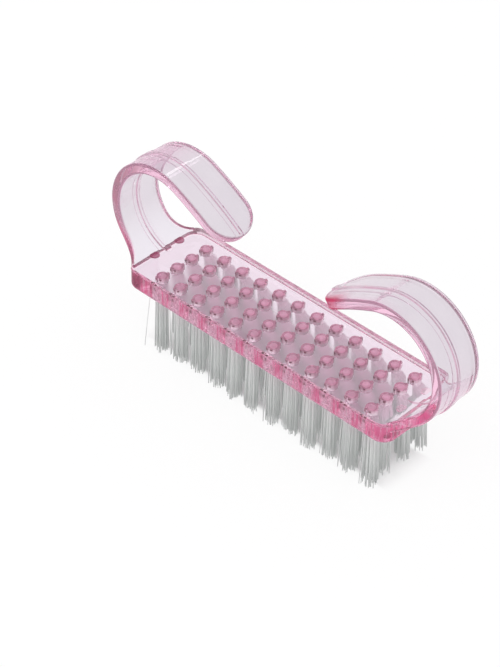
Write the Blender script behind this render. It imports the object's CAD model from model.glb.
import math
import random
from contextlib import contextmanager

import bmesh
import bpy
import numpy as np
from mathutils import Matrix, Vector


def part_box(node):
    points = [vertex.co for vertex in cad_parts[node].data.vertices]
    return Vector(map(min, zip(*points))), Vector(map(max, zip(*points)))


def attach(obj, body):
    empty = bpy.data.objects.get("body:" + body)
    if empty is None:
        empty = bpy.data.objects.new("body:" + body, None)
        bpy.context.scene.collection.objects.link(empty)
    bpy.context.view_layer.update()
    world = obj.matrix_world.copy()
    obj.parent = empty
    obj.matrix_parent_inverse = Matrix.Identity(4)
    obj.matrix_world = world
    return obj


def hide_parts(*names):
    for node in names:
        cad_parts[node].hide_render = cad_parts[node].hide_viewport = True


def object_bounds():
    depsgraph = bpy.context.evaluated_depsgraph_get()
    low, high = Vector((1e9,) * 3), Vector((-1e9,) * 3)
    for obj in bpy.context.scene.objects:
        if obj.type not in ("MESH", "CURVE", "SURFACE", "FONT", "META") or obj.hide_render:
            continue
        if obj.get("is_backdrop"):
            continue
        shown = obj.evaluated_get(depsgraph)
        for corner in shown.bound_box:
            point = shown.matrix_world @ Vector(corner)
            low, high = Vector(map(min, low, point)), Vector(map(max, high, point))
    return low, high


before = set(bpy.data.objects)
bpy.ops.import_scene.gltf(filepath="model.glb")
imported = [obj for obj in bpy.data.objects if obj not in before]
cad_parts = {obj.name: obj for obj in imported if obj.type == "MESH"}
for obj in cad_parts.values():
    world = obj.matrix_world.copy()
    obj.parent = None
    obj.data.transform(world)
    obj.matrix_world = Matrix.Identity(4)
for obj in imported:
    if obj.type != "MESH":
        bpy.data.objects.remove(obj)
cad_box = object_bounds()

bl_info = {
    "name": "Nail brush",
    "version": (1, 0, 0),
    "blender": (4, 5, 0),
    "location": "3D View > Sidebar > Nail brush",
    "description": "A clear moulded nail brush with two finger loops and short bristle tufts",
    "category": "Object",
}

# Pieces are shaped in millimetres and shrunk to metres when they are finished
MM = 0.001
# Coordinates that differ by less, in millimetres, count as equal
EPS = 1e-4
# Faces whose normal has at least this share upright count as flat
FLAT = 0.999

BODY_LOW, BODY_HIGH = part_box("body")
ROWS = 4
COLS = 12
# Turns after which light counts as lost in the plastic or the bristles, and shows as a glow
TRAPPED_TURNS = 7.5
TRAPPED_MIRRORINGS = 3.5
TRAPPED_SCATTERINGS = 1.5
# How fast deep plastic takes on its colour, per metre
DEPTH_DENSITY = 50.0
# Tip of the one filament that has come loose, from the first tuft of the front row
LOOSE_TIP = (-0.0224, -0.0070, 0.0005)
# Distance between the filaments of a tuft in filament diameters
FILAMENT_SPACING = 1.05
# In millimetres: gap beside the anchor, wobble of the filaments' places, least rise of the
# fold that leaves room for a filament, and height of the lowest tips
ANCHOR_GAP = 0.01
PLACE_WOBBLE = 0.015
LEAST_RISE = 0.1
LOWEST_TIP = 0.02
# Share of the tips that stray further than usual, and how many times as far
FLYAWAY_SHARE = 0.04
FLYAWAY_REACH = 4


def length_prop(name, description, default):
    """A size in metres that the sidebar shows with its unit."""
    return bpy.props.FloatProperty(
        name=name, description=description, default=default, min=0.0, unit="LENGTH", precision=5
    )


def angle_prop(name, description, degrees):
    """An angle that the sidebar shows in degrees."""
    return bpy.props.FloatProperty(
        name=name, description=description, default=math.radians(degrees), subtype="ANGLE"
    )


def colour_prop(name, description, default):
    """A colour without alpha."""
    return bpy.props.FloatVectorProperty(
        name=name, description=description, default=default, min=0.0, max=1.0, subtype="COLOR"
    )


class NailBrushSlab(bpy.types.PropertyGroup):
    """Sizes of the slab and of the holes in it."""

    length: length_prop("Length", "Length of the slab without the loops", 0.052)
    width: length_prop("Width", "Width of the slab", BODY_HIGH.y - BODY_LOW.y)
    thickness: length_prop("Thickness", "Thickness of the slab", 0.0034)
    bottom: length_prop("Bottom", "Height of the slab's underside", BODY_LOW.z)
    corner_r: length_prop("Corner radius", "Radius of the corners seen from above", 0.0022)
    edge_r: length_prop("Edge radius", "Radius along the top and bottom edges", 0.0004)
    mark_d: length_prop("Mark diameter", "Diameter of the round pin marks", 0.0016)
    mark_h: length_prop("Mark height", "Height of the pin marks above the slab", 0.00015)
    mark_gap: length_prop("Mark gap", "Distance between the two pin marks of an end", 0.0052)
    end_margin: length_prop("End margin", "From the slab's end to the first hole", 0.0051)
    side_margin: length_prop("Side margin", "From the slab's side to the first row", 0.00285)
    hole_d: length_prop("Hole diameter", "Diameter of a tuft hole", 0.0019)
    hole_depth: length_prop("Hole depth", "Depth of a tuft hole to its round end", 0.0027)


class NailBrushLoop(bpy.types.PropertyGroup):
    """Sizes of the two finger loops."""

    reach: length_prop("Reach", "From the slab's end to the rib's outermost point", 0.0065)
    curl_r: length_prop("Curl radius", "Outer radius of the round part", 0.0098)
    thickness: length_prop("Thickness", "Thickness of the strip", 0.0017)
    width: length_prop("Width", "Width of the strip", 0.0084)
    edge_r: length_prop("Edge radius", "Radius along the strip's edges", 0.00035)
    root_drop: length_prop("Root drop", "Depth of the strip's root below the slab's top", 0.002)
    fillet_r: length_prop("Fillet radius", "Radius of the hollow sides at the root", 0.005)
    curl_over: angle_prop("Curl past the crown", "How far the round part runs past its top", 24)
    tail_r: length_prop("Tail radius", "Outer radius of the flatter tail", 0.055)
    tail_len: length_prop("Tail length", "Length of the tail", 0.0114)
    rib_w: length_prop("Rib width", "Width of the low rib on both faces", 0.0014)
    rib_h: length_prop("Rib height", "Height of the rib", 0.0002)


class NailBrushBristles(bpy.types.PropertyGroup):
    """Sizes of the tufts and of their anchors."""

    filament_d: length_prop("Filament diameter", "Thickness of one nylon filament", 0.00015)
    splay: length_prop("Splay", "How much wider a tuft is at its tips", 0.00048)
    lean_across: length_prop("Lean across", "How far the outer rows lean outward", 0.0009)
    lean_along: length_prop("Lean along", "How far all tufts lean along the slab", 0.0008)
    stray: length_prop("Stray", "Usual wander of a filament's tip", 0.00015)
    uneven: length_prop("Uneven tips", "Most difference in length of the filaments", 0.0012)
    fit: length_prop("Fit", "Clearance between a tuft and its hole", 0.00005)
    anchor_t: length_prop("Anchor thickness", "Thickness of the flat anchor", 0.0003)
    anchor_bite: length_prop("Anchor bite", "Depth of the anchor's ends in the wall", 0.00015)
    fold_t: length_prop("Fold", "Nylon between the anchor and the hole's end", 0.0005)
    anchor_turn: angle_prop("Anchor turn", "Turn of the anchors from straight across", 17)


class NailBrushFinish(bpy.types.PropertyGroup):
    """Colours of the finishes and of the stage."""

    slab_flat: colour_prop("Slab faces", "Tint of the slab's flat faces", (0.86, 0.89, 0.93))
    slab_edge: colour_prop("Slab edges", "Tint of the slab's rounded edges", (1.0, 0.93, 0.96))
    slab_wall: colour_prop("Slab walls", "Tint of walls beside the holes", (0.92, 0.18, 0.42))
    slab_gap: colour_prop("Slab wall gaps", "Tint of walls between holes", (0.97, 0.76, 0.84))
    loop_flat: colour_prop("Loop faces", "Tint of the loops' flat faces", (0.71, 0.71, 0.75))
    loop_edge: colour_prop("Loop edges", "Tint of the loops' rounded edges", (0.36, 0.28, 0.33))
    loop_rim: colour_prop("Loop rims", "Tint of the loops' narrow rims", (1.0, 0.93, 1.0))
    loop_outer: colour_prop("Outer rim", "Tint of the rim's outermost part", (0.30, 0.10, 0.16))
    hole_wall: colour_prop("Hole wall", "Tint of the hole walls", (0.95, 0.64, 0.79))
    frost: colour_prop("Frost", "Frost on the holes' ends", (0.70, 0.36, 0.49))
    frost_low: colour_prop("Low frost", "Frost further down the holes", (0.66, 0.46, 0.55))
    frost_edge: colour_prop("Edge frost", "Haze on the loops' edges", (0.45, 0.28, 0.36))
    frost_far: colour_prop("Far frost", "Haze on the right loop's far edge", (0.40, 0.29, 0.34))
    frost_rib: colour_prop("Rib frost", "Haze on the ribs' sides", (0.78, 0.68, 0.75))
    frost_end: colour_prop("End frost", "Haze in the slab's left end", (0.30, 0.09, 0.15))
    frost_tip: colour_prop("Tip frost", "Haze at the right loop's tip", (0.66, 0.10, 0.20))
    frost_line: colour_prop("Line frost", "Bright line along the back wall", (1.0, 0.98, 0.99))
    frost_rim: colour_prop("Rim frost", "Haze on the left loop's near rim", (1.0, 0.74, 0.88))
    frost_near: colour_prop("Near frost", "Haze on the loops' near side", (0.90, 0.60, 0.77))
    frost_bite: colour_prop("Bite frost", "Colour where the anchors bite", (0.20, 0.05, 0.09))
    frost_gap: colour_prop("Gap frost", "Haze in the walls between", (0.89, 0.70, 0.78))
    frost_wall: colour_prop("Wall frost", "Haze in the deep pink walls", (0.76, 0.16, 0.34))
    shadow: colour_prop("Shadow", "Light that a face lets into the shadow", (0.95, 0.86, 0.91))
    trapped_light: colour_prop("Trapped light", "Glow of deep plastic", (0.80, 0.66, 0.74))
    depth: colour_prop("Depth", "Tint of light in deep plastic", (0.94, 0.1, 0.5))
    nylon: colour_prop("Nylon", "Colour of the filaments", (0.96, 0.965, 0.96))
    nylon_shade: colour_prop("Nylon shade", "Darker streaks in filaments", (0.78, 0.795, 0.79))
    nylon_glow: colour_prop("Nylon glow", "Light that a dense tuft holds", (0.60, 0.62, 0.61))
    nylon_root: colour_prop("Nylon root glow", "That light under the slab", (0.90, 0.66, 0.76))
    metal: colour_prop("Anchor metal", "Colour of the anchors", (0.52, 0.45, 0.46))
    metal_shade: colour_prop("Metal shade", "Darker streaks in the metal", (0.30, 0.26, 0.27))
    floor: colour_prop("Floor", "Colour of the floor", (0.93, 0.93, 0.93))


def mm(size):
    """A size in metres as a number of millimetres."""
    return size / MM


# Helpers for shaping in edit mode


def activate(obj):
    """Makes obj the only selected object and the active one."""
    bpy.ops.object.select_all(action="DESELECT")
    obj.select_set(True)
    bpy.context.view_layer.objects.active = obj


@contextmanager
def editing(obj):
    """Edit mode on obj for the length of a with block."""
    activate(obj)
    bpy.ops.object.mode_set(mode="EDIT")
    try:
        yield
    finally:
        bpy.ops.object.mode_set(mode="OBJECT")


def pick(obj, kind, test):
    """Selects only the vertices, edges or faces in edit mode that pass the test."""
    bpy.ops.mesh.select_mode(type=kind)
    bpy.ops.mesh.select_all(action="DESELECT")
    mesh = bmesh.from_edit_mesh(obj.data)
    for item in {"VERT": mesh.verts, "EDGE": mesh.edges, "FACE": mesh.faces}[kind]:
        if test(item):
            item.select_set(True)
    bmesh.update_edit_mesh(obj.data)


def turn_faces_out():
    """Turns all normals of the mesh in edit mode outward."""
    bpy.ops.mesh.select_all(action="SELECT")
    bpy.ops.mesh.normals_make_consistent(inside=False)


def all_at(item, axis, value):
    """Whether every corner of an edge or face has this coordinate."""
    return all(abs(v.co[axis] - value) < EPS for v in item.verts)


def primitive(add, name, scale=(1, 1, 1), **settings):
    """Adds a primitive, applies its scale and returns it."""
    bpy.ops.object.select_all(action="DESELECT")
    add(**settings)
    obj = bpy.context.object
    obj.name = name
    obj.data.name = name
    obj.scale = scale
    bpy.ops.object.transform_apply(location=True, rotation=True, scale=True)
    return obj


def apply_modifier(obj, kind, **settings):
    """Adds a modifier, sets it and applies it."""
    activate(obj)
    modifier = obj.modifiers.new(kind.title(), kind)
    for key, value in settings.items():
        setattr(modifier, key, value)
    bpy.ops.object.modifier_apply(modifier=modifier.name)


def boolean(obj, other, operation):
    """Joins other to obj or cuts it out, and removes other."""
    apply_modifier(obj, "BOOLEAN", object=other, operation=operation, solver="EXACT")
    bpy.data.objects.remove(other)


def copy_of(obj, offset=(0, 0, 0)):
    """A copy with its own mesh, moved by an offset."""
    twin = obj.copy()
    twin.data = obj.data.copy()
    twin.data.transform(Matrix.Translation(offset))
    bpy.context.collection.objects.link(twin)
    return twin


def join(objects):
    """Joins objects into the first of them."""
    activate(objects[0])
    for obj in objects:
        obj.select_set(True)
    bpy.ops.object.join()
    return objects[0]


def mark_faces(obj, name, number):
    """Gives each face a number, from 0 to 1, that its material reads."""
    faces = obj.data.polygons
    marks = obj.data.attributes.new(name, "FLOAT", "FACE")
    marks.data.foreach_set("value", [number(face) for face in faces])


def shrink_to_metres(obj):
    """Turns the mesh from millimetres into metres and clears its transform."""
    activate(obj)
    obj.scale = (MM, MM, MM)
    bpy.ops.object.transform_apply(location=True, rotation=True, scale=True)


def paint(obj, material):
    """Makes this the object's only material."""
    obj.data.materials.clear()
    obj.data.materials.append(material)


def dress(obj, material, slot, *nodes):
    """Gives a finished piece its material, body, slot and the nodes that it replaces."""
    paint(obj, material)
    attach(obj, "root")
    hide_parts(*nodes)


# Node helpers for the materials


def new_material(name):
    """An empty node material, its tree and its output node."""
    material = bpy.data.materials.new(name)
    material.use_nodes = True
    tree = material.node_tree
    tree.nodes.clear()
    return material, tree, tree.nodes.new("ShaderNodeOutputMaterial")


def add_node(tree, kind, inputs=None, **settings):
    """Adds a node; an input is given a value, or a socket to link to it."""
    made = tree.nodes.new("ShaderNode" + kind)
    for key, value in settings.items():
        setattr(made, key, value)
    for key, value in (inputs or {}).items():
        if isinstance(value, bpy.types.NodeSocket):
            tree.links.new(value, made.inputs[key])
        else:
            made.inputs[key].default_value = value
    return made


def object_coords(tree, scale=(1, 1, 1)):
    """Object coordinates, stretched by a scale along each axis."""
    coords = add_node(tree, "TexCoord").outputs["Object"]
    return add_node(tree, "Mapping", {"Vector": coords, "Scale": scale}).outputs["Vector"]


def noise(tree, vector, scale, detail=2.0):
    """Noise between 0 and 1."""
    inputs = {"Vector": vector, "Scale": scale, "Detail": detail}
    return add_node(tree, "TexNoise", inputs).outputs["Fac"]


def mix_colours(tree, factor, one, other):
    """Mixes two colours, or two colour sockets, by a factor."""
    made = add_node(tree, "Mix", {0: factor}, data_type="RGBA")
    for socket, colour in ((made.inputs[6], one), (made.inputs[7], other)):
        if isinstance(colour, bpy.types.NodeSocket):
            tree.links.new(colour, socket)
        else:
            socket.default_value = (*colour, 1)
    return made.outputs[2]


def face_number(tree, name):
    """The number that mark_faces gave each face."""
    return add_node(tree, "Attribute", attribute_name=name).outputs["Fac"]


def calc(tree, operation, *values, **settings):
    """The result of a Math node, whose values are numbers or sockets."""
    inputs = dict(enumerate(values))
    return add_node(tree, "Math", inputs, operation=operation, **settings).outputs[0]


def remap(tree, value, low, high, start=0.0, end=1.0):
    """Maps start to end on to low to high."""
    inputs = {"Value": value, "From Min": start, "From Max": end, "To Min": low, "To Max": high}
    return add_node(tree, "MapRange", inputs).outputs["Result"]


def ramp(tree, value, none, full):
    """A mask that goes from 0 where the value is none to 1 where it is full."""
    return remap(tree, value, 0.0, 1.0, none, full)


def over(tree, value, limit):
    """A mask that is 1 where the value is over the limit."""
    return calc(tree, "GREATER_THAN", value, limit)


def under(tree, value, limit):
    """A mask that is 1 where the value is under the limit."""
    return calc(tree, "LESS_THAN", value, limit)


def outside(tree, mask):
    """A mask that is 1 where the given one is 0."""
    return calc(tree, "SUBTRACT", 1.0, mask)


def overlap(tree, first, *others):
    """The product of masks, which is 1 where all of them are."""
    for other in others:
        first = calc(tree, "MULTIPLY", first, other)
    return first


def union(tree, first, *others):
    """The largest of masks, which is 1 where any of them is."""
    for other in others:
        first = calc(tree, "MAXIMUM", first, other)
    return first


def distance(tree, value, centre=0.0):
    """How far the value is from the centre."""
    return calc(tree, "ABSOLUTE", calc(tree, "SUBTRACT", value, centre))


def position(tree):
    """Sockets for X, for Y and for the height above the slab's underside."""
    place = add_node(tree, "SeparateXYZ", {"Vector": object_coords(tree)}).outputs
    return place["X"], place["Y"], calc(tree, "SUBTRACT", place["Z"], BODY_LOW.z)


def lost_light(tree, **limits):
    """1 for rays past any of these limits on the depths of the Light Path node."""
    depths = add_node(tree, "LightPath").outputs
    return union(tree, *(
        over(tree, depths[name + " Depth"], limit) for name, limit in limits.items()
    ))


def mix_shaders(tree, factor, one, other):
    """Mixes two shader sockets by a factor."""
    return add_node(tree, "MixShader", {0: factor, 1: one, 2: other}).outputs[0]


def wall_cells(tree, place):
    """1 where the slab's walls are deep pink: in streaks beside the holes, at the ends
    and at the back. The left pin marks are deep pink too, and the right ones are not."""
    x, y, height = place
    pitch = 0.0038
    shift = 0.00025
    start = math.pi + math.tau * shift / pitch
    turns = calc(tree, "MULTIPLY_ADD", x, math.tau / pitch, start)
    beside = ramp(tree, calc(tree, "COSINE", turns), -0.5, 0.35)
    ends = ramp(tree, distance(tree, x), 0.0218, 0.0222)
    grain = noise(tree, object_coords(tree, (1, 1, 0.12)), 2500.0)
    streaks = remap(tree, grain, 0.4, 1.0, 0.38, 0.60)
    marks = over(tree, height, 0.00338)
    right_marks = overlap(tree, marks, over(tree, x, 0.0))
    back = overlap(tree, over(tree, y, 0.0), over(tree, height, 0.0009))
    cells = overlap(tree, union(tree, beside, ends), union(tree, streaks, marks))
    return calc(tree, "SUBTRACT", union(tree, cells, back), right_marks, use_clamp=True)


def plastic_tint(tree, finish, place, zones):
    """The tint that light takes on at each face of the plastic."""
    x = place[0]
    walls = mix_colours(tree, zones["cell"], finish.slab_gap, finish.slab_wall)
    slab = mix_colours(tree, zones["round"], finish.slab_flat, finish.slab_edge)
    slab = mix_colours(tree, zones["side"], slab, walls)
    outermost = ramp(tree, x, -0.0265, -0.0305)
    tips = remap(tree, distance(tree, x), 0.0, 0.9, 0.0125, 0.0095)
    rims = mix_colours(tree, union(tree, outermost, tips), finish.loop_rim, finish.loop_outer)
    loop = mix_colours(tree, zones["round"], finish.loop_flat, finish.loop_edge)
    loop = mix_colours(tree, zones["side"], loop, rims)
    faces = mix_colours(tree, zones["loop"], slab, loop)
    paler = mix_colours(tree, remap(tree, zones["cloud"], 0.0, 0.3), faces, (1.0, 1.0, 1.0))
    return mix_colours(tree, zones["hole"], paler, finish.hole_wall)


def frost_layers(tree, finish, place, zones):
    """Mask, share and colour of each frost, the later over the earlier. Places are in
    metres: X, Y, and the height above the slab's underside."""
    x, y, height = place
    side = zones["side"]
    loop = zones["loop"]
    flat = overlap(tree, loop, outside(tree, side))
    wall = overlap(tree, side, outside(tree, loop))
    front = under(tree, y, 0.0)
    back = over(tree, y, 0.0)
    bite = face_number(tree, "bite")
    groove = calc(tree, "COMPARE", height, 0.0015, 0.0003)
    upper = ramp(tree, height, 0.0004, 0.0013)
    hole_share = remap(tree, upper, 0.36, 0.52)
    hole_frost = mix_colours(tree, upper, finish.frost_low, finish.frost)
    speck = noise(tree, object_coords(tree, (1, 1, 0.4)), 3500.0)
    specks = remap(tree, speck, 0.15, 0.55, 0.42, 0.62)
    edge = overlap(tree, flat, zones["round"])
    near = overlap(
        tree, flat, ramp(tree, y, -0.0022, -0.0042),
        over(tree, x, 0.0), ramp(tree, x, 0.026, 0.019),
    )
    crown = overlap(
        tree, flat, ramp(tree, x, -0.0205, -0.0275), ramp(tree, height, 0.015, 0.019)
    )
    rim = overlap(
        tree, loop, side, front, ramp(tree, distance(tree, x, -0.0125), 0.0135, 0.0115)
    )
    tip = overlap(
        tree, loop, ramp(tree, distance(tree, x, 0.0105), 0.0045, 0.0018),
        ramp(tree, y, -0.001, -0.0038),
    )
    root = overlap(
        tree, side, front, ramp(tree, x, 0.0275, 0.0290), ramp(tree, height, 0.0085, 0.0070)
    )
    bottom = overlap(tree, side, under(tree, height, 0.0013), over(tree, y, 0.007))
    gap = overlap(tree, wall, outside(tree, zones["cell"]), front, specks)
    return (
        (near, 0.25, finish.frost_near),
        (crown, 0.2, finish.frost_near),
        (rim, 0.35, finish.frost_rim),
        (overlap(tree, wall, zones["cell"]), 0.4, finish.frost_wall),
        (gap, 1.0, finish.frost_gap),
        (overlap(tree, wall, ramp(tree, x, -0.0222, -0.0230)), 0.3, finish.frost_end),
        (bottom, 0.8, finish.frost_line),
        (edge, 0.35, finish.frost_edge),
        (overlap(tree, edge, back, over(tree, x, 0.018)), 0.35, finish.frost_far),
        (face_number(tree, "rib"), 0.5, finish.frost_rib),
        (tip, 0.58, finish.frost_tip),
        (root, 0.6, finish.frost_wall),
        (zones["hole"], hole_share, hole_frost),
        (overlap(tree, bite, over(tree, height, 0.0018)), 0.15, finish.frost),
        (overlap(tree, bite, groove), 0.6, finish.frost_bite),
    )


def plastic_frost(tree, finish, place, zones):
    """The share of frost on each face of the plastic, and its shader."""
    colour = finish.frost_near
    share = 0.0
    for where, amount, tone in frost_layers(tree, finish, place, zones):
        colour = mix_colours(tree, where, colour, tone)
        share = calc(tree, "MULTIPLY_ADD", where, amount, share)
    matt = add_node(tree, "BsdfDiffuse", {"Color": colour}).outputs[0]
    through = add_node(tree, "BsdfTranslucent", {"Color": colour}).outputs[0]
    return share, mix_shaders(tree, 0.5, matt, through)


def plastic_roughness(tree, place, zones):
    """Polished faces, but roughened ends of the holes and a roughened underside."""
    x, y, height = place
    hole_end = remap(tree, height, 0.0, 0.45, 0.001, 0.002)
    polished = remap(tree, zones["cloud"], 0.0, 0.03)
    rough = calc(tree, "MULTIPLY_ADD", zones["hole"], hole_end, polished)
    underside = overlap(
        tree, ramp(tree, height, 0.0002, 0.0001), remap(tree, y, 0.42, 0.15, 0.0, 0.003),
        ramp(tree, distance(tree, x), 0.0225, 0.021),
    )
    return union(tree, rough, underside)


def clear_plastic(finish):
    """Clear plastic, pinker the longer the way of the light, with frosted hole walls.

    The number called rim is 0 on flat faces and 1 on sides."""
    material, tree, output = new_material("clear_pink_plastic")
    place = position(tree)
    rim = face_number(tree, "rim")
    zones = {
        "round": ramp(tree, rim, 0.0, 0.2),
        "side": ramp(tree, rim, 0.8, 0.95),
        "hole": face_number(tree, "hole"),
        "loop": ramp(tree, place[2], 0.0034, 0.008),
        "cell": wall_cells(tree, place),
        "cloud": noise(tree, object_coords(tree), 220.0),
    }
    flow = noise(tree, object_coords(tree, (60, 300, 300)), 4.0)
    bump = add_node(tree, "Bump", {"Height": flow, "Strength": 0.04, "Distance": 0.0001})
    shader = add_node(tree, "BsdfPrincipled", {
        "Base Color": plastic_tint(tree, finish, place, zones),
        "Roughness": plastic_roughness(tree, place, zones),
        "Normal": bump.outputs["Normal"],
        "IOR": 1.57,
        "Transmission Weight": 1.0,
    })
    share, frost = plastic_frost(tree, finish, place, zones)
    faces = mix_shaders(tree, share, shader.outputs["BSDF"], frost)
    trapped = add_node(tree, "Emission", {"Color": (*finish.trapped_light, 1), "Strength": 1.0})
    lost = lost_light(tree, Ray=TRAPPED_TURNS, Glossy=TRAPPED_MIRRORINGS)
    lasting = mix_shaders(tree, lost, faces, trapped.outputs[0])
    clear = add_node(tree, "BsdfTransparent", {"Color": (*finish.shadow, 1)})
    shadow = add_node(tree, "LightPath").outputs["Is Shadow Ray"]
    surface = mix_shaders(tree, shadow, lasting, clear.outputs[0])
    volume = add_node(tree, "VolumeAbsorption", {
        "Color": (*finish.depth, 1), "Density": DEPTH_DENSITY,
    })
    tree.links.new(surface, output.inputs["Surface"])
    tree.links.new(volume.outputs["Volume"], output.inputs["Volume"])
    return material


def nylon(finish):
    """Milky nylon that lets light through, streaked from filament to filament."""
    material, tree, output = new_material("white_nylon")
    y, height = position(tree)[1:]
    streaks = noise(tree, object_coords(tree, (1, 1, 0.03)), 9000.0)
    grain = noise(tree, object_coords(tree), 20000.0)
    colour = mix_colours(tree, streaks, finish.nylon_shade, finish.nylon)
    shader = add_node(tree, "BsdfPrincipled", {
        "Base Color": colour,
        "Roughness": remap(tree, grain, 0.3, 0.5),
        "Specular IOR Level": 0.5,
    })
    through = add_node(tree, "BsdfTranslucent", {"Color": colour})
    milky = mix_shaders(tree, 0.5, shader.outputs["BSDF"], through.outputs[0])
    rooted = ramp(tree, height, -0.004, 0.0)
    lit = overlap(tree, remap(tree, y, 0.0, 0.1, -0.0046, -0.0036), rooted)
    passed = add_node(tree, "Emission", {"Color": (*finish.nylon_root, 1), "Strength": lit})
    milky = add_node(tree, "AddShader", {0: milky, 1: passed.outputs[0]})
    held = mix_colours(tree, rooted, finish.nylon_glow, finish.nylon_root)
    glow = add_node(tree, "Emission", {"Color": held, "Strength": 1.0})
    lost = lost_light(tree, Diffuse=TRAPPED_SCATTERINGS, Ray=TRAPPED_TURNS)
    surface = mix_shaders(tree, lost, milky.outputs[0], glow.outputs[0])
    tree.links.new(surface, output.inputs["Surface"])
    return material


def brushed_metal(finish):
    """Rolled strip metal with fine lengthwise streaks."""
    material, tree, output = new_material("anchor_metal")
    streaks = noise(tree, object_coords(tree, (1, 1, 12)), 3000.0)
    bump = add_node(tree, "Bump", {"Height": streaks, "Strength": 0.2, "Distance": 0.00001})
    shader = add_node(tree, "BsdfPrincipled", {
        "Base Color": mix_colours(tree, streaks, finish.metal_shade, finish.metal),
        "Metallic": 1.0,
        "Roughness": remap(tree, streaks, 0.3, 0.5),
        "Normal": bump.outputs["Normal"],
    })
    tree.links.new(shader.outputs["BSDF"], output.inputs["Surface"])
    return material


# Modelling of the pieces, in millimetres


def model_slab(slab):
    """The slab: a cube with rounded corners and softly rounded top and bottom edges."""
    low = mm(slab.bottom)
    high = low + mm(slab.thickness)
    obj = primitive(
        bpy.ops.mesh.primitive_cube_add, "clear_body", size=1,
        location=(0, 0, (low + high) / 2),
        scale=(mm(slab.length), mm(slab.width), mm(slab.thickness)),
    )
    with editing(obj):
        pick(obj, "EDGE", lambda e: abs(e.verts[0].co.z - e.verts[1].co.z) > EPS)
        bpy.ops.mesh.bevel(offset=mm(slab.corner_r), segments=14)
        pick(obj, "EDGE", lambda e: all_at(e, 2, low) or all_at(e, 2, high))
        bpy.ops.mesh.bevel(offset=mm(slab.edge_r), segments=5)
    mark_faces(obj, "rim", lambda face: 1 - abs(face.normal.z))
    return obj


def curl_centre(slab, loop):
    """X of the middle of the right loop's round part."""
    return mm(slab.length / 2 + loop.reach - loop.rib_h - loop.curl_r)


def strip_outline(slab, loop):
    """Stations along the flat strip from its root: distance, and half width there."""
    radius = mm(loop.curl_r - loop.thickness / 2)
    curl_x = curl_centre(slab, loop)
    half = mm(loop.width) / 2
    fillet_r = mm(loop.fillet_r)
    corner_r = mm(slab.corner_r)
    corner_y = mm(slab.width) / 2 - corner_r
    fillet_y = half + fillet_r
    across = fillet_y - corner_y
    along = math.sqrt((corner_r + fillet_r) ** 2 - across ** 2)
    fillet_x = mm(slab.length) / 2 - corner_r + along
    start = math.atan2(along, across)
    length = strip_length(loop)
    steps = 12
    for i in range(steps + 1):
        angle = start * (1 - i / steps)
        x = fillet_x - fillet_r * math.sin(angle)
        yield radius * math.asin((x - curl_x) / radius), fillet_y - fillet_r * math.cos(angle)
    steps = 18
    for i in range(steps + 1):
        angle = math.pi / 2 * i / steps
        yield length - half * (1 - math.sin(angle)), half * math.cos(angle)


def strip_length(loop):
    """Length of the strip along the middle of its thickness."""
    middle = mm(loop.thickness) / 2
    turn = math.pi + loop.curl_over
    curl = (mm(loop.curl_r) - middle) * turn
    return curl + mm(loop.tail_len) * (1 - middle / mm(loop.tail_r))


def model_flat_strip(slab, loop):
    """The strip before it is bent: X from its root, thickness along Z, edges rounded."""
    stations = list(strip_outline(slab, loop))
    thick = mm(loop.thickness)
    spacing = 0.5
    steep = 0.98
    first, width = stations[0]
    obj = primitive(
        bpy.ops.mesh.primitive_plane_add, "strip", size=1,
        location=(first / 2, 0, -thick / 2), scale=(first, 2 * width, 1),
    )
    with editing(obj):
        pick(obj, "EDGE", lambda e: all_at(e, 0, first))
        for (x0, w0), (x1, w1) in zip(stations, stations[1:]):
            if x1 - x0 < EPS:
                continue
            bpy.ops.mesh.extrude_region_move(
                TRANSFORM_OT_translate={"value": (x1 - x0, 0, 0)}
            )
            bpy.ops.transform.resize(
                value=(1, w1 / w0, 1), center_override=(x1, 0, -thick / 2)
            )
        bpy.ops.mesh.select_all(action="SELECT")
        bpy.ops.mesh.remove_doubles(threshold=EPS)
        bpy.ops.mesh.dissolve_faces()
        bpy.ops.mesh.select_all(action="SELECT")
        bpy.ops.mesh.extrude_region_move(TRANSFORM_OT_translate={"value": (0, 0, thick)})
        turn_faces_out()
        for z in (-thick / 2, thick / 2):
            pick(obj, "EDGE", lambda e: all_at(e, 2, z) and not all_at(e, 0, 0))
            bpy.ops.mesh.bevel(offset=mm(loop.edge_r), segments=4)
        raise_ribs(obj, loop)
        bpy.ops.mesh.select_mode(type="FACE")
        cuts = int(strip_length(loop) / spacing)
        for i in range(1, cuts):
            bpy.ops.mesh.select_all(action="SELECT")
            bpy.ops.mesh.bisect(
                plane_co=(i * spacing, 0, 0), plane_no=(1, 0, 0), threshold=EPS / 10
            )

    def on_rib(face):
        return abs(face.center.z) > thick / 2 + EPS

    mark_faces(obj, "rim", lambda face: 0.0 if on_rib(face) else 1 - abs(face.normal.z))
    mark_faces(obj, "rib", lambda face: float(on_rib(face) and abs(face.normal.z) < steep))
    return obj


def raise_ribs(obj, loop):
    """Raises the low rib along the middle of the top and the underside."""
    half = mm(loop.rib_w) / 2
    taper = 0.8
    for y in (-half, half):
        pick(obj, "FACE", lambda f: abs(f.normal.z) > FLAT)
        bpy.ops.mesh.bisect(plane_co=(0, y, 0), plane_no=(0, 1, 0), threshold=EPS / 10)
    pick(obj, "FACE", lambda f: (
        abs(f.normal.z) > FLAT and abs(f.calc_center_median().y) < half
    ))
    bpy.ops.mesh.extrude_region_shrink_fatten(
        TRANSFORM_OT_shrink_fatten={"value": mm(loop.rib_h)}
    )
    bpy.ops.transform.resize(value=(1, taper, 1), center_override=(0, 0, 0))


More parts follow.
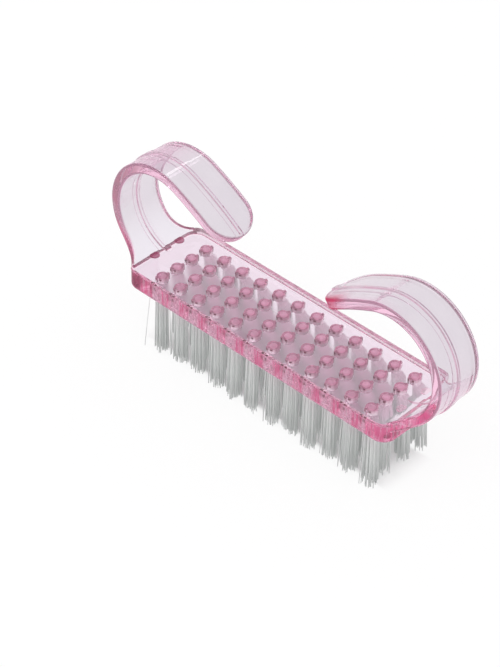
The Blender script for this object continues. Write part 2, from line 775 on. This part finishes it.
def bend_path(loop):
    """The curve that the middle of the strip follows, in its own XY plane."""
    middle = mm(loop.thickness) / 2
    points = []
    step = math.radians(2)
    start = -math.pi / 2
    end = math.pi / 2 + loop.curl_over
    radius = mm(loop.curl_r) - middle
    count = round((end - start) / step)
    for i in range(count + 1):
        angle = start + (end - start) * i / count
        points.append((radius * math.cos(angle), radius * math.sin(angle), 0))
    tail_r = mm(loop.tail_r) - middle
    centre = Vector((math.cos(end), math.sin(end), 0)) * (radius - tail_r)
    tail_turn = mm(loop.tail_len) / mm(loop.tail_r)
    for i in range(1, count):
        angle = end + tail_turn * i / (count - 1)
        points.append(centre + Vector((math.cos(angle), math.sin(angle), 0)) * tail_r)
    curve = bpy.data.curves.new("bend_path", "CURVE")
    curve.dimensions = "3D"
    curve.twist_mode = "Z_UP"
    spline = curve.splines.new("POLY")
    spline.points.add(len(points) - 1)
    for point, place in zip(spline.points, points):
        point.co = (*place, 1)
    path = bpy.data.objects.new("bend_path", curve)
    bpy.context.collection.objects.link(path)
    return path


def model_loop(slab, loop):
    """The right finger loop: the flat strip bent along its path, in its place."""
    obj = model_flat_strip(slab, loop)
    activate(obj)
    obj.rotation_euler = (math.pi / 2, 0, 0)
    bpy.ops.object.transform_apply(location=True, rotation=True, scale=True)
    path = bend_path(loop)
    apply_modifier(obj, "CURVE", object=path, deform_axis="POS_X")
    bpy.data.objects.remove(path)
    activate(obj)
    obj.rotation_euler = (math.pi / 2, 0, 0)
    obj.location = (
        curl_centre(slab, loop), 0,
        mm(slab.bottom + slab.thickness - loop.root_drop + loop.curl_r),
    )
    bpy.ops.object.transform_apply(location=True, rotation=True, scale=True)
    return obj


def mirrored(obj):
    """A copy mirrored across the middle of the brush, with its faces outward."""
    twin = copy_of(obj)
    twin.data.transform(Matrix.Scale(-1, 4, (1, 0, 0)))
    with editing(twin):
        turn_faces_out()
    return twin


def model_mark(slab, loop, side):
    """A round pin mark where the loop's inner face rises from the slab."""
    top = mm(slab.bottom + slab.thickness)
    inner = mm(loop.curl_r - loop.thickness)
    drop = mm(loop.curl_r - loop.root_drop)
    x = curl_centre(slab, loop) + math.sqrt(inner ** 2 - drop ** 2)
    height = mm(slab.mark_h)
    as_a_side = 0.95
    obj = primitive(
        bpy.ops.mesh.primitive_cylinder_add, "mark", vertices=32, radius=mm(slab.mark_d) / 2,
        depth=2 * height, location=(x, side * mm(slab.mark_gap) / 2, top),
    )
    with editing(obj):
        pick(obj, "EDGE", lambda e: all_at(e, 2, top + height))
        bpy.ops.mesh.bevel(offset=height / 2, segments=2)
    mark_faces(obj, "rim", lambda face: as_a_side)
    return obj


def hole_places(slab):
    """Row, column and place in plan of every hole."""
    pitch_x = mm(slab.length - 2 * slab.end_margin) / (COLS - 1)
    pitch_y = mm(slab.width - 2 * slab.side_margin) / (ROWS - 1)
    for row in range(1, ROWS + 1):
        for col in range(1, COLS + 1):
            yield row, col, (col - (COLS + 1) / 2) * pitch_x, (row - (ROWS + 1) / 2) * pitch_y


def model_hole(slab, bristles):
    """The cutter of one blind hole: round end, straight sides, grooves for the anchor.

    The grooves are larger than the anchor, so that no faces coincide. Walls that face
    along the scar count as bitten too."""
    overrun = 0.5
    loose = 0.03
    loose_width = 1.5
    scar = Vector((0.36, -0.93, 0))
    scar_limit = 0.97
    bottom = mm(slab.bottom) - overrun
    radius = mm(slab.hole_d) / 2
    dome = mm(slab.bottom + slab.hole_depth) - radius
    obj = primitive(
        bpy.ops.mesh.primitive_uv_sphere_add, "hole", segments=32, ring_count=16,
        radius=radius, location=(0, 0, dome),
    )
    with editing(obj):
        pick(obj, "VERT", lambda v: v.co.z < dome - EPS)
        bpy.ops.mesh.delete(type="VERT")
        pick(obj, "EDGE", lambda e: all_at(e, 2, dome))
        bpy.ops.mesh.extrude_region_move(
            TRANSFORM_OT_translate={"value": (0, 0, bottom - dome)}
        )
        bpy.ops.mesh.edge_face_add()
        turn_faces_out()
    top = anchor_top(slab, bristles) + loose
    groove = primitive(
        bpy.ops.mesh.primitive_cube_add, "groove", size=1,
        location=(0, 0, (bottom + top) / 2 - overrun / 2),
        rotation=(0, 0, math.pi / 2 - bristles.anchor_turn),
        scale=(
            mm(slab.hole_d + 2 * bristles.anchor_bite) + 2 * loose,
            loose_width * mm(bristles.anchor_t),
            top - bottom + overrun,
        ),
    )
    boolean(obj, groove, "UNION")

    def bitten(face):
        in_groove = math.hypot(*face.center[:2]) > radius + EPS
        return float(in_groove or abs(face.normal.dot(scar)) > scar_limit)

    mark_faces(obj, "hole", lambda face: 1.0)
    mark_faces(obj, "bite", bitten)
    return obj


def anchor_top(slab, bristles):
    """Height of the anchor's upper edge in millimetres."""
    return mm(slab.bottom + slab.hole_depth - bristles.fit - bristles.fold_t)


def model_body(scene):
    """The whole moulding: slab, loops and marks joined, and the tuft holes cut out."""
    weld = 0.001
    slab = scene.nail_brush_slab
    loop = scene.nail_brush_loop
    body = model_slab(slab)
    right = model_loop(slab, loop)
    for part in (mirrored(right), right):
        boolean(body, part, "UNION")
    for side in (-1, 1):
        mark = model_mark(slab, loop, side)
        for part in (mirrored(mark), mark):
            boolean(body, part, "UNION")
    hole = model_hole(slab, scene.nail_brush_bristles)
    holes = [copy_of(hole, (x, y, 0)) for *_, x, y in hole_places(slab)]
    bpy.data.objects.remove(hole)
    boolean(body, join(holes), "DIFFERENCE")
    with editing(body):
        bpy.ops.mesh.select_all(action="SELECT")
        bpy.ops.mesh.remove_doubles(threshold=weld)
    activate(body)
    bpy.ops.object.shade_smooth_by_angle(angle=math.radians(32))
    apply_modifier(body, "WEIGHTED_NORMAL", weight=60, keep_sharp=True)
    shrink_to_metres(body)
    return body


def rod_template(rings, sides=4):
    """One filament as a straight upright rod with evenly spaced rings of vertices."""
    obj = primitive(
        bpy.ops.mesh.primitive_cylinder_add, "rod", vertices=sides, radius=1, depth=1,
        location=(0, 0, 0.5), end_fill_type="NGON",
    )
    with editing(obj):
        for i in range(1, rings - 1):
            bpy.ops.mesh.select_all(action="SELECT")
            bpy.ops.mesh.bisect(plane_co=(0, 0, i / (rings - 1)), plane_no=(0, 0, 1))
    return obj


def filament_path(u, v, lift, lower, upper, tips):
    """Centre line of one folded filament, as rings of (along, across, height).

    u and v are its places along and across the anchor, lift is the rise of its fold
    above the anchor, and each tip is (along, across, height). Shoulder and belly are
    shares of the way from the hole's mouth to the tip."""
    shoulder = (0.66, 0.66, 0.12)
    belly = (0.82, 0.82, 0.5)
    legs = []
    for side, tip in zip((-1, 1), tips):
        mouth = np.array((u, side * v, lower))
        reach = np.array(tip) - mouth
        legs.append([
            np.array(tip), mouth + reach * belly, mouth + reach * shoulder, mouth,
            np.array((u, side * v, upper)),
        ])
    fold = [
        np.array((u, v * math.sin(angle), upper + lift * math.cos(angle)))
        for angle in (-math.pi / 4, 0, math.pi / 4)
    ]
    return np.array(legs[0] + fold + legs[1][::-1])


def place_rod(rod, path, radius, twist):
    """The template's vertices moved on to a path."""
    count = len(path)
    tangents = np.gradient(path, axis=0)
    tangents /= np.linalg.norm(tangents, axis=1)[:, None]
    side = np.array((1.0, 0.0, 0.0))
    normals = np.cross(tangents, side)
    normals /= np.linalg.norm(normals, axis=1)[:, None]
    sides = np.cross(normals, tangents)
    ring = np.rint(rod[:, 2] * (count - 1)).astype(int)
    cos, sin = math.cos(twist), math.sin(twist)
    a = (rod[:, 0] * cos - rod[:, 1] * sin) * radius
    b = (rod[:, 0] * sin + rod[:, 1] * cos) * radius
    return path[ring] + a[:, None] * sides[ring] + b[:, None] * normals[ring]


def tuft_rooms(radius, pitch, start):
    """Places of the filaments in half of the hole: along the anchor, and away from it."""
    v = start
    while v < radius:
        reach = math.sqrt(radius ** 2 - v ** 2)
        count = max(1, int(2 * reach / pitch))
        for i in range(count):
            yield (i - (count - 1) / 2) * pitch, v
        v += pitch


def model_tuft(rod, slab, bristles, x, y, rng, loose_tip=None):
    """One tuft at its hole: filaments folded over the anchor, spreading to uneven tips."""
    rod_points = np.array([v.co for v in rod.data.vertices])
    lower = mm(slab.bottom)
    upper = anchor_top(slab, bristles)
    hole_r = mm(slab.hole_d) / 2
    dome = mm(slab.bottom + slab.hole_depth) - hole_r
    thick = mm(bristles.filament_d)
    room = hole_r - mm(bristles.fit) - thick / 2
    start = mm(bristles.anchor_t) / 2 + thick / 2 + ANCHOR_GAP
    grow = 1 + mm(bristles.splay) / room
    angle = math.pi / 2 - bristles.anchor_turn
    along = np.array((math.cos(angle), math.sin(angle)))
    across = np.array((-math.sin(angle), math.cos(angle)))
    edge_y = mm(slab.width / 2 - slab.side_margin)
    lean = np.array((mm(bristles.lean_along), mm(bristles.lean_across) * y / edge_y))
    usual = mm(bristles.stray)
    lean += (rng.gauss(0, usual), rng.gauss(0, usual))
    uneven = mm(bristles.uneven)
    shortness = rng.uniform(0, uneven / 4)
    slant = rng.gauss(0, uneven / 5) / room
    lean_u, lean_v = lean @ along, lean @ across
    points = []
    for u, v in tuft_rooms(room, thick * FILAMENT_SPACING, start):
        u += rng.uniform(-PLACE_WOBBLE, PLACE_WOBBLE)
        ceiling = dome + math.sqrt(max(0.01, room ** 2 - u ** 2)) - upper
        if ceiling < LEAST_RISE:
            continue
        lift = ceiling * v / room
        tips = []
        for side in (-1, 1):
            stray = usual * (FLYAWAY_REACH if rng.random() < FLYAWAY_SHARE else 1)
            tips.append((
                u * grow + lean_u + rng.gauss(0, stray),
                side * v * grow + lean_v + rng.gauss(0, stray),
                LOWEST_TIP + max(0, shortness + slant * u + rng.uniform(0, uneven)),
            ))
        if loose_tip and not points:
            away = np.array(loose_tip[:2]) / MM - (x, y)
            tips[0] = (away @ along, away @ across, mm(loose_tip[2]))
        path = filament_path(u, v, lift, lower, upper, tips)
        points.append(place_rod(rod_points, path, thick / 2, rng.uniform(0, math.pi / 2)))
    points = np.array(points)
    plan = points[..., :1] * along + points[..., 1:2] * across + (x, y)
    return np.concatenate([plan, points[..., 2:]], axis=2)


def tuft_object(rod, name, filaments):
    """One mesh of many copies of the rod."""
    faces = [tuple(p.vertices) for p in rod.data.polygons]
    count = len(rod.data.vertices)
    mesh = bpy.data.meshes.new(name)
    mesh.from_pydata(
        (filaments.reshape(-1, 3) * MM).tolist(), [],
        [tuple(i + k * count for i in face) for k in range(len(filaments)) for face in faces],
    )
    obj = bpy.data.objects.new(name, mesh)
    bpy.context.collection.objects.link(obj)
    activate(obj)
    bpy.ops.object.shade_smooth_by_angle(angle=math.radians(100))
    return obj


# The stage


def make_camera():
    """The camera at the photograph's viewing angle."""
    azimuth, elevation, roll = (math.radians(a) for a in (42.84, 39.68, 1.49))
    standoff = 0.34933
    aim = Vector((-0.00298, -0.00444, 0.01272))
    back = Vector((
        math.sin(azimuth) * math.cos(elevation),
        -math.cos(azimuth) * math.cos(elevation),
        math.sin(elevation),
    ))
    level = Vector((math.cos(azimuth), math.sin(azimuth), 0))
    rise = back.cross(level)
    right = math.cos(roll) * level + math.sin(roll) * rise
    up = math.cos(roll) * rise - math.sin(roll) * level
    data = bpy.data.cameras.new("camera")
    data.lens = 129.27
    data.clip_start = 0.01
    camera = bpy.data.objects.new("camera", data)
    bpy.context.collection.objects.link(camera)
    turn = Matrix((right, up, back)).transposed()
    camera.matrix_world = Matrix.Translation(aim + back * standoff) @ turn.to_4x4()
    bpy.context.scene.camera = camera


def make_light(name, place, size, power):
    """A square soft light aimed at the middle of the brush."""
    aim = Vector((0, 0, 0.015))
    data = bpy.data.lights.new(name, "AREA")
    data.size = size
    data.energy = power
    light = bpy.data.objects.new(name, data)
    bpy.context.collection.objects.link(light)
    light.location = place
    light.rotation_euler = (Vector(place) - aim).to_track_quat("Z", "Y").to_euler()


def white_rays(tree):
    """1 for rays that show the background: from the camera, a reflection or glass."""
    rays = add_node(tree, "LightPath").outputs
    kinds = ("Camera", "Glossy", "Transmission")
    return union(tree, *(rays[f"Is {kind} Ray"] for kind in kinds))


def make_world():
    """A white background, and for the object a sky that is softer overhead."""
    world = bpy.data.worlds.new("studio")
    world.use_nodes = True
    tree = world.node_tree
    tree.nodes.clear()
    output = tree.nodes.new("ShaderNodeOutputWorld")
    sky = add_node(tree, "TexCoord").outputs["Generated"]
    height = add_node(tree, "SeparateXYZ", {"Vector": sky}).outputs["Z"]
    gradient = remap(tree, height, 1.0, 0.9, 0.35, 0.85)
    camera = add_node(tree, "LightPath").outputs["Is Camera Ray"]
    strength = union(tree, camera, gradient)
    light = add_node(tree, "Background", {"Color": (1, 1, 1, 1), "Strength": strength})
    tree.links.new(light.outputs[0], output.inputs["Surface"])
    bpy.context.scene.world = world


def make_floor(finish):
    """A pale paper floor, white to the camera but for the shade under the bristles."""
    half_length = 0.023
    half_width = 0.0045
    material, tree, output = new_material("paper_floor")
    grain = noise(tree, object_coords(tree), 400.0)
    tone = mix_colours(tree, grain, finish.floor, tuple(0.99 * c for c in finish.floor))
    paper = add_node(tree, "BsdfDiffuse", {"Color": tone, "Roughness": 0.5})
    white = add_node(tree, "Emission", {"Color": (1, 1, 1, 1), "Strength": 1.0})
    halves = object_coords(tree, (1 / half_length, 1 / half_width, 1))
    place = add_node(tree, "SeparateXYZ", {"Vector": halves}).outputs
    away = union(tree, distance(tree, place["X"]), distance(tree, place["Y"]))
    share = overlap(tree, remap(tree, away, 0.0, 0.85, 0.9, 1.1), white_rays(tree))
    mixed = mix_shaders(tree, share, paper.outputs[0], white.outputs[0])
    tree.links.new(mixed, output.inputs["Surface"])
    floor = primitive(bpy.ops.mesh.primitive_plane_add, "floor", size=4.0)
    paint(floor, material)
    floor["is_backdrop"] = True


class NAILBRUSH_OT_stage(bpy.types.Operator):
    """Adds the camera, the soft lights, the white background and the floor"""

    bl_idname = "nailbrush.stage"
    bl_label = "Add stage"

    def execute(self, context):
        make_camera()
        make_world()
        make_light("key_light", place=(-0.25, -0.45, 0.55), size=0.45, power=1.2)
        make_light("fill_light", place=(0.55, -0.2, 0.35), size=0.35, power=0.4)
        make_light("crown_light", place=(-0.237, 0.344, 0.487), size=0.04, power=0.016)
        make_floor(context.scene.nail_brush_finish)
        return {"FINISHED"}


class NAILBRUSH_OT_body(bpy.types.Operator):
    """Models the clear moulding with its two finger loops and tuft holes"""

    bl_idname = "nailbrush.body"
    bl_label = "Add body"

    def execute(self, context):
        body = model_body(context.scene)
        dress(body, clear_plastic(context.scene.nail_brush_finish), "clear_pink", "body")
        return {"FINISHED"}


class NAILBRUSH_OT_tufts(bpy.types.Operator):
    """Models the bristle tufts, each folded over its anchor"""

    bl_idname = "nailbrush.tufts"
    bl_label = "Add tufts"

    def execute(self, context):
        scene = context.scene
        material = nylon(scene.nail_brush_finish)
        rod = rod_template(rings=13)
        seed = 7
        rng = random.Random(seed)
        for row, col, x, y in hole_places(scene.nail_brush_slab):
            filaments = model_tuft(
                rod, scene.nail_brush_slab, scene.nail_brush_bristles, x, y, rng,
                LOOSE_TIP if (row, col) == (1, 1) else None,
            )
            obj = tuft_object(rod, f"bristles_r{row}_c{col:02d}", filaments)
            dress(obj, material, "nylon", f"tuft_r{row}_c{col:02d}")
        bpy.data.objects.remove(rod)
        return {"FINISHED"}


class NAILBRUSH_OT_anchors(bpy.types.Operator):
    """Gives the flat metal anchors their finish"""

    bl_idname = "nailbrush.anchors"
    bl_label = "Finish anchors"

    def execute(self, context):
        material = brushed_metal(context.scene.nail_brush_finish)
        for row in range(1, ROWS + 1):
            paint(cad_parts[f"anchors_r{row}"], material)
        return {"FINISHED"}


OPERATORS = (
    NAILBRUSH_OT_stage,
    NAILBRUSH_OT_body,
    NAILBRUSH_OT_tufts,
    NAILBRUSH_OT_anchors,
)


class NAILBRUSH_PT_panel(bpy.types.Panel):
    """Lists the pieces of the nail brush and their sizes"""

    bl_idname = "NAILBRUSH_PT_panel"
    bl_label = "Nail brush"
    bl_space_type = "VIEW_3D"
    bl_region_type = "UI"
    bl_category = "Nail brush"

    def draw(self, context):
        layout = self.layout
        for operator in OPERATORS:
            layout.operator(operator.bl_idname)
        for name in GROUPS:
            box = layout.box()
            group = getattr(context.scene, name)
            for prop in type(group).__annotations__:
                box.prop(group, prop)


GROUPS = {
    "nail_brush_slab": NailBrushSlab,
    "nail_brush_loop": NailBrushLoop,
    "nail_brush_bristles": NailBrushBristles,
    "nail_brush_finish": NailBrushFinish,
}
CLASSES = (*GROUPS.values(), *OPERATORS, NAILBRUSH_PT_panel)


def register():
    for cls in CLASSES:
        bpy.utils.register_class(cls)
    for name, group in GROUPS.items():
        setattr(bpy.types.Scene, name, bpy.props.PointerProperty(type=group))


def unregister():
    for name in GROUPS:
        delattr(bpy.types.Scene, name)
    for cls in reversed(CLASSES):
        bpy.utils.unregister_class(cls)


def write_sizes():
    """Writes the CAD model's box and the visual model's box."""
    boxes = {"cad": cad_box, "visual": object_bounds()}
    {key: [list(corner) for corner in box] for key, box in boxes.items()}


def main():
    register()
    bpy.context.scene.view_settings.view_transform = "Standard"
    bpy.ops.nailbrush.stage()
    bpy.ops.nailbrush.body()
    bpy.ops.nailbrush.tufts()
    bpy.ops.nailbrush.anchors()
    write_sizes()


if __name__ == "__main__":
    main()
